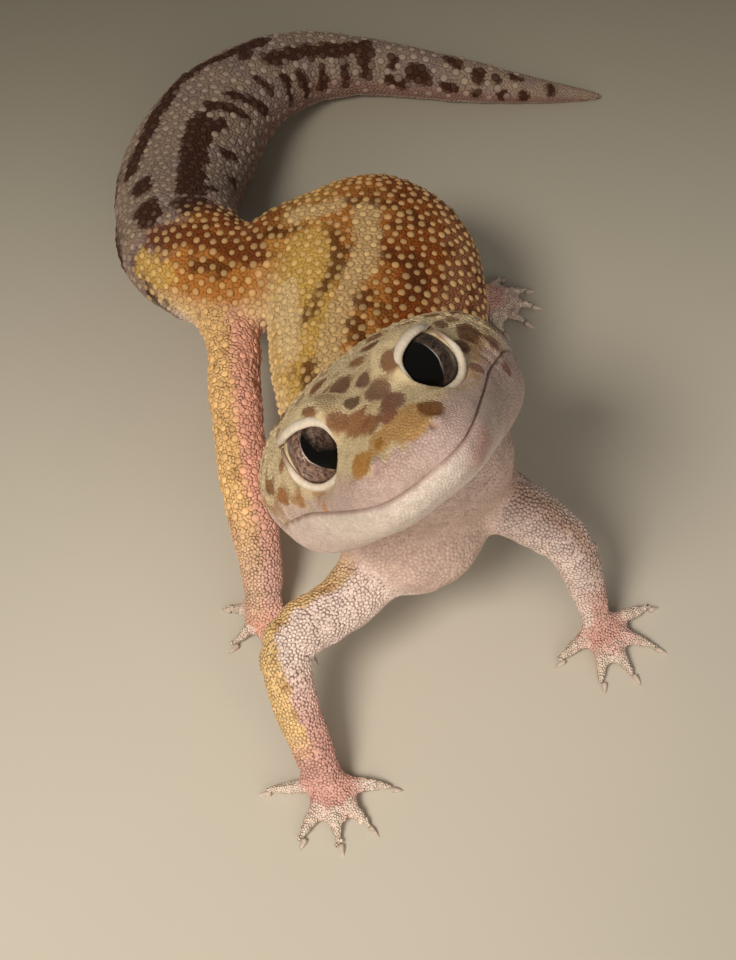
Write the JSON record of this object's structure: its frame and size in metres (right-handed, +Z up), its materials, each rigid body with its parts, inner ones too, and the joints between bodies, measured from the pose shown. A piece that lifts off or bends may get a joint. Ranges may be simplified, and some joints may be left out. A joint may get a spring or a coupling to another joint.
{
  "type": "leopard gecko",
  "caption": "Life-size leopard gecko standing still with its head raised and turned, its body bent at the waist and its fat tail curled round on the floor.",
  "frame": {"origin": "on the floor under the middle of the whole animal's box", "axes": "+Z up; -Y the way the head faces and the front feet reach; +X towards the side of the animal's left front leg"},
  "size_m": [0.057, 0.1072, 0.0487],
  "materials": {
    "brown_skin": "matt scaly skin, cream with taupe-brown blotches",
    "pale_skin": "matt fine-scaled skin, pinkish white",
    "yellow_skin": "matt skin with raised tubercles, golden yellow with brown-orange netting",
    "tail_skin": "matt skin, pale lilac-white with chocolate-brown blotches and bars",
    "pink_skin": "thin matt skin, pink",
    "eye": "wet clear cornea over a marbled grey-brown iris and a black upright pupil"
  },
  "bodies": {
    "root": {"head": "brown_skin", "jaw": "pale_skin", "neck": "pale_skin", "chest": "yellow_skin", "belly": "yellow_skin", "hips": "yellow_skin", "tail_base": "tail_skin", "tail_middle": "tail_skin", "tail_rear": "tail_skin", "tail_tip": "tail_skin", "upper_arm_right": "yellow_skin", "forearm_right": "pink_skin", "hand_right": "pink_skin", "upper_arm_left": "pale_skin", "forearm_left": "pink_skin", "hand_left": "pink_skin", "thigh_right": "yellow_skin", "shank_right": "yellow_skin", "foot_right": "pink_skin", "thigh_left": "yellow_skin", "shank_left": "yellow_skin", "foot_left": "pink_skin", "eye_left": "eye", "eye_right": "eye"}
  },
  "joints": []
}
